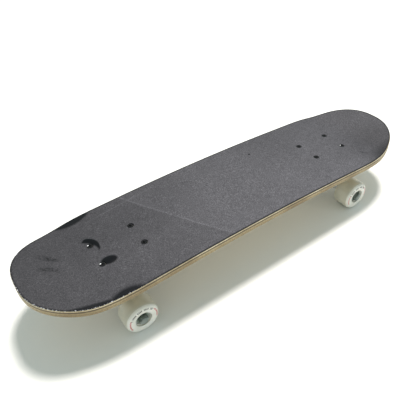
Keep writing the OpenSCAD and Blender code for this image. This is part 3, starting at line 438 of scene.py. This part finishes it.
def makeWheelFinish(shape):
    # poured polyurethane, off-white and slightly cloudy, with plain pad-printed bars and red dashes
    # on the flat of the outer face
    material, tree, surface = newMaterial("pouredWheelUrethane")
    coords = addNode(tree, "TexCoord").outputs["Object"]
    faceMap = addNode(tree, "UVMap", uv_map="facePlane")
    flat = addNode(tree, "SeparateXYZ", {0: faceMap})
    radius = addNode(tree, "VectorMath", {0: faceMap}, operation="LENGTH").outputs["Value"]
    angle = addNode(tree, "Math", {0: flat.outputs[1], 1: flat.outputs[0]}, operation="ARCTAN2")
    halfTurn = addNode(tree, "Math", {0: angle, 1: pi}, operation="ADD")
    fromFront = addNode(tree, "Math", {0: angle}, operation="ABSOLUTE")
    barTurn = addNode(tree, "Math", {0: angle, 1: radians(shape["barStep"])}, operation="MODULO")
    groupTurn = addNode(tree, "Math", {0: angle, 1: radians(5 * shape["barStep"])}, operation="MODULO")
    dashTurn = addNode(tree, "Math", {0: halfTurn, 1: radians(shape["dashStep"])}, operation="MODULO")

    # windows on those readings, each a reading, its lowest and its highest value
    barLow, barHigh = [edge / shape["radius"] for edge in shape["barRing"]]
    redLow, redHigh = [edge / shape["radius"] for edge in shape["redRing"]]
    spans = [("barRing", radius, barLow, barHigh), ("barArc", angle, radians(38), radians(154)),
             ("bar", barTurn, radians(1.2), radians(4.8)), ("barGroup", groupTurn, 0.0, radians(24)),
             ("redRing", radius, redLow, redHigh), ("redRight", angle, radians(-18), radians(34)),
             ("redLeft", fromFront, radians(152), radians(181)),
             ("dash", dashTurn, radians(1.0), radians(5.1))]
    windows = {}
    for name, reading, low, high in spans:
        windows[name] = addNode(tree, "Math", {0: reading, 1: (low + high) / 2, 2: (high - low) / 2},
                                operation="COMPARE")
    # plain equal bars round the top, with a gap after every fourth
    darkMask = windows["barRing"]
    for name in ("barArc", "bar", "barGroup"):
        darkMask = addNode(tree, "Math", {0: darkMask, 1: windows[name]}, operation="MULTIPLY")
    # a plain red ring of short dashes, left out at the top and bottom
    redMask = addNode(tree, "Math", {0: windows["redRight"], 1: windows["redLeft"]}, operation="MAXIMUM")
    for name in ("redRing", "dash"):
        redMask = addNode(tree, "Math", {0: redMask, 1: windows[name]}, operation="MULTIPLY")

    cloud = addNode(tree, "TexNoise", {"Vector": coords, "Scale": 1 / (16 * mm), "Detail": 3.0})
    scuff = addNode(tree, "TexNoise", {"Vector": coords, "Scale": 1 / (0.9 * mm), "Detail": 5.0})
    body = addNode(tree, "ValToRGB", {"Fac": cloud}, stops=[(0.3, "#d9d8cf"), (0.7, "#e9e8e1")])
    # the riding surface is painted darker than the side faces: painted shade under the board
    tread = addNode(tree, "Math", {0: radius, 1: 0.1}, operation="LESS_THAN")
    treadShade = addNode(tree, "Mix", {0: tread, 6: hexColour("#ffffff"), 7: hexColour("#e4e2d8")},
                   data_type="RGBA")
    colour = addNode(tree, "Mix", {0: 1.0, 6: body, 7: treadShade.outputs[2]}, data_type="RGBA",
                     blend_type="MULTIPLY").outputs[2]
    for mask, ink in ((redMask, "#bd6a68"), (darkMask, "#2c2d30")):
        layer = addNode(tree, "Mix", {0: mask, 6: colour, 7: hexColour(ink)}, data_type="RGBA")
        colour = layer.outputs[2]
    tree.links.new(colour, surface.inputs["Base Color"])
    surface.inputs["Subsurface Weight"].default_value = 0.25
    surface.inputs["Subsurface Radius"].default_value = (1.0, 0.9, 0.75)
    surface.inputs["Subsurface Scale"].default_value = 3 * mm
    shine = addNode(tree, "MapRange", {"Value": scuff, "From Min": 0.3, "From Max": 0.7,
                                       "To Min": 0.30, "To Max": 0.42})
    tree.links.new(shine.outputs[0], surface.inputs["Roughness"])
    bump = addNode(tree, "Bump", {"Height": scuff, "Strength": 0.3, "Distance": 0.05 * mm})
    tree.links.new(bump.outputs["Normal"], surface.inputs["Normal"])
    return material


finishes["wheel"] = makeWheelFinish(wheelShape)


def makeWheel(name, shape):
    # half of the turned section, mirrored and spun about the axle
    low, high = [Vector(corner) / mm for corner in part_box(name)]
    centre = (low + high) / 2
    outward = 1 if centre.y > 0 else -1
    bm = bmesh.new()
    r, w = shape["radius"], shape["halfWidth"]
    seat, end = shape["bearingRadius"], shape["bearingEnd"]
    bore, ledge, dish = seat - shape["hubWall"], seat + shape["dishRim"], seat + shape["dishWidth"]
    half = [(bore, 0.0), (bore, shape["gap"] - shape["hubEase"]), (bore + shape["hubEase"], shape["gap"]),
            (seat, shape["gap"]), (seat, end - shape["seatEase"]), (seat + shape["seatEase"], end),
            (ledge - shape["dishEase"], end), (ledge + shape["dishEase"] / 2, end + shape["hubEase"]),
            (dish - shape["dishEase"], w - shape["faceEase"]), (dish + shape["faceEase"], w)]
    for i in range(shape["lipSteps"] + 1):
        a = radians(90 - 90 * i / shape["lipSteps"])
        half.append((r - shape["lipDepth"] * (1 - cos(a)), w - shape["lipWidth"] * (1 - sin(a))))
    half.append((r, w - shape["lipWidth"] - shape["shoulder"]))
    loop = [bm.verts.new((pr, ph, 0)) for pr, ph in half]
    loop += [bm.verts.new((pr, -ph, 0)) for pr, ph in reversed(half) if ph > 0]
    for a, b in zip(loop, loop[1:] + loop[:1]):
        bm.edges.new((a, b))
    bmesh.ops.spin(bm, geom=bm.verts[:] + bm.edges[:], cent=(0, 0, 0), axis=(0, 1, 0), angle=2 * pi,
                   steps=shape["steps"], use_merge=True)
    bmesh.ops.remove_doubles(bm, verts=bm.verts, dist=0.001)
    bmesh.ops.recalc_face_normals(bm, faces=bm.faces)
    faceMap = bm.loops.layers.uv.new("facePlane")
    for face in bm.faces:
        printed = face.normal.y * outward > 0.35
        for corner in face.loops:
            place = corner.vert.co
            corner[faceMap].uv = (-outward * place.x / r, place.z / r) if printed else (0, 0)
    bmesh.ops.translate(bm, verts=bm.verts, vec=centre)
    return finishPiece(name + "_turned", bm, finishes["wheel"])


for end in ("front", "rear"):
    for side in ("left", "right"):
        name = end + "_" + side + "_wheel"
        wheel = makeWheel(name, wheelShape)
        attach(wheel, name + "_set")
        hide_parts(name)
print("stage: wheels")


# deck and tape: a flat sheet is cut, its rims are rounded, and then it is pressed into shape

board = dict(width=176.5, thickness=11.0, tapeThickness=0.8, tapeInset=0.6, rimRadius=1.3, tapeRim=0.3,
             # the outline, measured from the middle between the truck pads
             tailReach=337.5, noseReach=333.5, tailRound=148.0, noseRound=127.0, tailFullness=2.6,
             noseFullness=2.35, outlineSteps=160,
             # the pressing: concave, camber and kicks (angles in degrees)
             rise=2.0, flatWidth=60.0, camber=2.3, innerMargin=8.0, tailMargin=12.0, noseMargin=9.0,
             bendRadius=131.0, tailKick=16.0, noseKick=15.0, stripX=7.5, stripY=12.0, tapeRings=(1.3, 1.6),
             # the trucks' places and their bolt holes
             patternX=198.55, boltHalfX=31.75, boltHalfY=20.65, plateHalf=41.95, axleHeight=25.0,
             axleInward=16.0, deckOverAxle=54.5, holeRadius=2.7, sinkFoot=9.55, sinkRadius=4.7,
             sinkTop=11.55, drillFrom=-5.0, drillTo=20.0, drillSteps=32)


def pressShape(b):
    # the pressed sheet's curve along the board, worked out once: arch, pads, bends and kicks
    c = radians(b["camber"])
    underZ = b["axleHeight"] + b["axleInward"] * sin(c) + b["deckOverAxle"] * cos(c)
    archR = round((b["patternX"] - b["plateHalf"] - b["innerMargin"]) / sin(c))
    reach = archR * sin(c)
    topZ = underZ + (b["patternX"] - reach) * sin(c) / cos(c) + archR * (1 - cos(c))
    ends = {}
    for side, margin, kick in ((1, b["noseMargin"], b["noseKick"]), (-1, b["tailMargin"], b["tailKick"])):
        k = radians(kick)
        padLength = b["innerMargin"] + 2 * b["plateHalf"] + margin
        padZ = topZ - archR * (1 - cos(c))
        bend = (reach + padLength * cos(c), padZ - padLength * sin(c))
        centre = (bend[0] + b["bendRadius"] * sin(c), bend[1] + b["bendRadius"] * cos(c))
        kickFoot = (centre[0] + b["bendRadius"] * sin(k), centre[1] - b["bendRadius"] * cos(k))
        ends[side] = dict(kick=k, padLength=padLength, padZ=padZ, centre=centre, kickFoot=kickFoot,
                          bendLength=b["bendRadius"] * (c + k))
    return dict(camber=c, archR=archR, archReach=reach, archLength=archR * c, topZ=topZ, ends=ends)


press = pressShape(board)


def pressedPoint(along, lift, side):
    # (x, z) of a point that lies this far along the flat sheet and this high above its underside
    c, end = press["camber"], press["ends"][side]
    if along < press["archLength"]:
        r, a = press["archR"] + lift, along / press["archR"]
        return r * sin(a), press["topZ"] - press["archR"] + r * cos(a)
    along -= press["archLength"]
    if along < end["padLength"]:
        reach = press["archReach"] + along * cos(c) + lift * sin(c)
        return reach, end["padZ"] - along * sin(c) + lift * cos(c)
    along -= end["padLength"]
    r = board["bendRadius"]
    if along < end["bendLength"]:
        a = along / r - c
        return end["centre"][0] + (r - lift) * sin(a), end["centre"][1] - (r - lift) * cos(a)
    along -= end["bendLength"]
    k = end["kick"]
    foot = end["kickFoot"]
    return foot[0] + along * cos(k) - lift * sin(k), foot[1] + along * sin(k) + lift * cos(k)


def concaveRise(y):
    # how far the concave lifts the sheet at this distance from its middle line
    flat = board["flatWidth"] / 2
    return board["rise"] * (max(0.0, abs(y) - flat) / (board["width"] / 2 - flat)) ** 2


def pressedHeight(x, y, lift):
    # height of the pressed sheet over a place on the plan, found by halving a span of the flat sheet
    side = 1 if x >= 0 else -1
    lift = lift + concaveRise(y)
    low, high = 0.0, 420.0
    for step in range(32):
        middle = (low + high) / 2
        if pressedPoint(middle, lift, side)[0] < abs(x):
            low = middle
        else:
            high = middle
    return pressedPoint(low, lift, side)[1]


def cutBlank(b, inset, bottom, top, rim, rings=()):
    # a flat blank with the board's outline: x and y on the plan, z the height within the sheet
    bm = bmesh.new()
    bmesh.ops.create_circle(bm, cap_ends=True, segments=b["outlineSteps"], radius=1.0)
    for vert in bm.verts:
        x, y = vert.co.x, vert.co.y
        nose = x > -1e-6
        length, reach, n = ((b["noseRound"], b["noseReach"] - inset, b["noseFullness"]) if nose else
                            (b["tailRound"], b["tailReach"] - inset, b["tailFullness"]))
        vert.co.x = (1 if nose else -1) * (reach - length + length * abs(x) ** (2 / n))
        vert.co.y = (1 if y > 0 else -1) * (b["width"] / 2 - inset) * abs(y) ** (2 / n)
        vert.co.z = bottom
    made = bmesh.ops.extrude_face_region(bm, geom=bm.faces[:])
    raised = [g for g in made["geom"] if isinstance(g, bmesh.types.BMVert)]
    bmesh.ops.translate(bm, vec=(0, 0, top - bottom), verts=raised)
    bmesh.ops.recalc_face_normals(bm, faces=bm.faces)
    rims = [e for e in bm.edges if len(e.link_faces) == 2
            and abs(abs(e.link_faces[0].normal.z) - abs(e.link_faces[1].normal.z)) > 0.5]
    bmesh.ops.bevel(bm, geom=rims, offset=rim, offset_type="OFFSET", affect="EDGES", segments=4,
                    profile=0.5, material=-1)
    for width in rings:
        topFace = max(bm.faces, key=lambda f: f.calc_center_median().z + f.calc_area() * 1e-3)
        bmesh.ops.inset_region(bm, faces=[topFace], thickness=width)
    cutStrips(bm, b["stripX"], -b["tailReach"], b["noseReach"], (1, 0, 0))
    cutStrips(bm, b["stripY"], -b["width"] / 2, b["width"] / 2, (0, 1, 0))
    return bm


def cutStrips(bm, step, start, stop, direction, inside=None):
    # cuts the faces into strips no wider than step, so that the blank can bend there
    count = int((stop - start) / step)
    for i in range(1, count):
        place = Vector(direction) * (start + (stop - start) * i / count)
        faces = [f for f in bm.faces if inside is None or inside(f.calc_center_median())]
        verts, edges = {v for f in faces for v in f.verts}, {e for f in faces for e in f.edges}
        geometry = list(verts) + list(edges) + faces
        bmesh.ops.bisect_plane(bm, geom=geometry, plane_co=place, plane_no=direction, dist=0.02)


def drillHoles(bm, b):
    # cuts the eight countersunk bolt holes out of a blank
    drill = bmesh.new()
    profile = [(0, b["drillFrom"]), (b["holeRadius"], b["drillFrom"]), (b["holeRadius"], b["sinkFoot"]),
               (b["sinkRadius"], b["sinkTop"]), (b["sinkRadius"], b["drillTo"]), (0, b["drillTo"])]
    points = [drill.verts.new((r, 0, z)) for r, z in profile]
    for first, second in zip(points, points[1:]):
        drill.edges.new((first, second))
    bmesh.ops.spin(drill, geom=drill.verts[:] + drill.edges[:], cent=(0, 0, 0), axis=(0, 0, 1),
                   angle=2 * pi, steps=b["drillSteps"], use_merge=True)
    bmesh.ops.remove_doubles(drill, verts=drill.verts, dist=0.001)
    bmesh.ops.recalc_face_normals(drill, faces=drill.faces)
    plug = drill.verts[:] + drill.edges[:] + drill.faces[:]
    for end in (-1, 1):
        for out in (-1, 1):
            for side in (-1, 1):
                copy = bmesh.ops.duplicate(drill, geom=plug)
                place = (end * b["patternX"] + out * b["boltHalfX"], side * b["boltHalfY"], 0)
                bmesh.ops.translate(drill, vec=place,
                                    verts=[g for g in copy["geom"] if isinstance(g, bmesh.types.BMVert)])
    bmesh.ops.delete(drill, geom=[g for g in plug if isinstance(g, bmesh.types.BMVert)], context="VERTS")
    made = []
    for shape in (bm, drill):
        mesh = bpy.data.meshes.new("drilling")
        shape.to_mesh(mesh)
        shape.free()
        made.append(bpy.data.objects.new("drilling", mesh))
        bpy.context.scene.collection.objects.link(made[-1])
    cut = made[0].modifiers.new("holes", "BOOLEAN")
    cut.operation = "DIFFERENCE"
    cut.solver = "EXACT"
    cut.object = made[1]
    result = bmesh.new()
    result.from_object(made[0], bpy.context.evaluated_depsgraph_get())
    for piece in made:
        mesh = piece.data
        bpy.data.objects.remove(piece)
        bpy.data.meshes.remove(mesh)
    return result


def pressBlank(bm, b):
    # lays the flat blank on the pressed curve
    shift = (b["tailReach"] - b["noseReach"]) / 2
    for vert in bm.verts:
        vert.co.z = pressedHeight(vert.co.x, vert.co.y, vert.co.z)
        vert.co.x += shift


deckBm = drillHoles(cutBlank(board, 0.0, 0.0, board["thickness"], board["rimRadius"]), board)
plyLayer = deckBm.verts.layers.float.new("ply")
for vert in deckBm.verts:
    vert[plyLayer] = vert.co.z / board["thickness"]
for face in deckBm.faces:
    face.material_index = 0 if abs(face.normal.z) > 0.999 else 1
pressBlank(deckBm, board)
deck = finishPiece("pressed_deck", deckBm, finishes["maple"])
deck.data.materials.append(finishes["plyEdge"])
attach(deck, "board")
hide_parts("deck")

# the tape's fold and blister, placed from the two rear outer bolts
tapeFold = dict(near=(-262.0, -192.0), half=44.0, step=2.0, lift=0.9, ridgeCentre=(-8.4, -2.9),
                ridgeRadius=18.5, ridgeHalf=4.5, ridgeFacing=(0.76, 0.65), ridgeEnd=0.35,
                blisterCentre=(11.0, 1.0), blisterHalf=(12.5, 8.5), blisterTurn=-15.0)


def foldLift(x, y, b, fold):
    # height of the fold, an arc that fades at its ends, and of the blister, an oval dome
    boltX = -b["patternX"] - b["boltHalfX"]
    dx, dy = x - boltX - fold["ridgeCentre"][0], y - b["boltHalfY"] - fold["ridgeCentre"][1]
    arc = sqrt(dx ** 2 + dy ** 2)
    facing = (dx * fold["ridgeFacing"][0] + dy * fold["ridgeFacing"][1]) / max(arc, 0.1)
    ridge = max(0.0, 1 - ((arc - fold["ridgeRadius"]) / fold["ridgeHalf"]) ** 2)
    ridge *= max(0.0, (facing - fold["ridgeEnd"]) / (1 - fold["ridgeEnd"]))
    dx, dy = x - boltX - fold["blisterCentre"][0], y + b["boltHalfY"] - fold["blisterCentre"][1]
    turn = radians(fold["blisterTurn"])
    u = (dx * cos(turn) + dy * sin(turn)) / fold["blisterHalf"][0]
    v = (-dx * sin(turn) + dy * cos(turn)) / fold["blisterHalf"][1]
    return fold["lift"] * max(ridge, 1 - u * u - v * v)


def onFolds(place):
    # whether a face of the tape's top is near the folds and needs finer strips
    low, high = tapeFold["near"]
    return low < place.x < high and abs(place.y) < tapeFold["half"] and place.z > tapeHigh - 0.05


tapeLow, tapeHigh = board["thickness"], board["thickness"] + board["tapeThickness"]
tapeBm = cutBlank(board, board["tapeInset"], tapeLow, tapeHigh, board["tapeRim"], rings=board["tapeRings"])
cutStrips(tapeBm, tapeFold["step"], tapeFold["near"][0], tapeFold["near"][1], (1, 0, 0), onFolds)
cutStrips(tapeBm, tapeFold["step"], -tapeFold["half"], tapeFold["half"], (0, 1, 0), onFolds)
# how far each place is from the rim is kept on the mesh, for the filed edge
rimPoints = [vert.co.xy for vert in tapeBm.verts if tapeLow + 0.3 < vert.co.z < tapeHigh - 0.2]
rimTree = KDTree(len(rimPoints))
for i, point in enumerate(rimPoints):
    rimTree.insert((point.x, point.y, 0), i)
rimTree.balance()
tapeBm = drillHoles(tapeBm, board)
rimLayer = tapeBm.verts.layers.float.new("rimDistance")
for vert in tapeBm.verts:
    vert[rimLayer] = rimTree.find((vert.co.x, vert.co.y, 0))[2]
    if vert.co.z > tapeHigh - 0.05:
        vert.co.z += foldLift(vert.co.x, vert.co.y, board, tapeFold)
pressBlank(tapeBm, board)
tape = finishPiece("rolled_grip_tape", tapeBm, finishes["grip"])
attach(tape, "board")
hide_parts("grip_tape")
print("stage: deck and tape")


# trucks: the hangers and baseplates get a cast skin

castSkin = dict(voxel=0.7, passes=5)


def castCopy(name, skin):
    # a cast part has no sharp edge: its copy is merged, remeshed in fine voxels and smoothed
    bm = bmesh.new()
    bm.from_mesh(nodes[name].data)
    bmesh.ops.remove_doubles(bm, verts=bm.verts, dist=1e-6)
    bmesh.ops.recalc_face_normals(bm, faces=bm.faces)
    bmesh.ops.scale(bm, vec=(1 / mm, 1 / mm, 1 / mm), verts=bm.verts)
    rough = finishPiece(name + "_blank", bm, finishes["castAlloy"], smooth=False)
    remesh = rough.modifiers.new("castSkin", "REMESH")
    remesh.mode = "VOXEL"
    remesh.voxel_size = skin["voxel"] * mm
    cast = bmesh.new()
    cast.from_object(rough, bpy.context.evaluated_depsgraph_get())
    mesh = rough.data
    bpy.data.objects.remove(rough)
    bpy.data.meshes.remove(mesh)
    for step in range(skin["passes"]):
        bmesh.ops.smooth_vert(cast, verts=cast.verts, factor=0.5, use_axis_x=True, use_axis_y=True,
                              use_axis_z=True)
    bmesh.ops.scale(cast, vec=(1 / mm, 1 / mm, 1 / mm), verts=cast.verts)
    return finishPiece(name + "_casting", cast, finishes["castAlloy"])


for end in ("front", "rear"):
    for part, body in (("hanger", end + "_hanger_set"), ("baseplate", "board")):
        casting = castCopy(end + "_" + part, castSkin)
        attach(casting, body)
        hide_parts(end + "_" + part)
        print("stage: cast", end, part, len(casting.data.polygons), "faces")


# the other CAD pieces keep their shapes and take better finishes, by the end of their names

suffixFinish = {
    "deck_bolts": "blackOxide", "deck_nuts": "zinc", "riser_pad": "rubber", "baseplate": "castAlloy",
    "pivot_cup": "nylon", "kingpin": "zinc", "kingpin_nut": "zinc", "bushing": "bushing", "washer": "zinc",
    "washers": "nutSteel", "hanger": "castAlloy", "axle": "nutSteel", "axle_nuts": "nutSteel",
    "inner_races": "bearing", "outer_races": "bearing", "spacers": "zinc", "shields": "shield",
    "balls": "bearing", "cages": "cage",
}

for name, piece in nodes.items():
    for suffix, finish in suffixFinish.items():
        if name.endswith(suffix):
            for slot in piece.material_slots:
                slot.material = finishes[finish]
print("stage: finishes on CAD pieces")
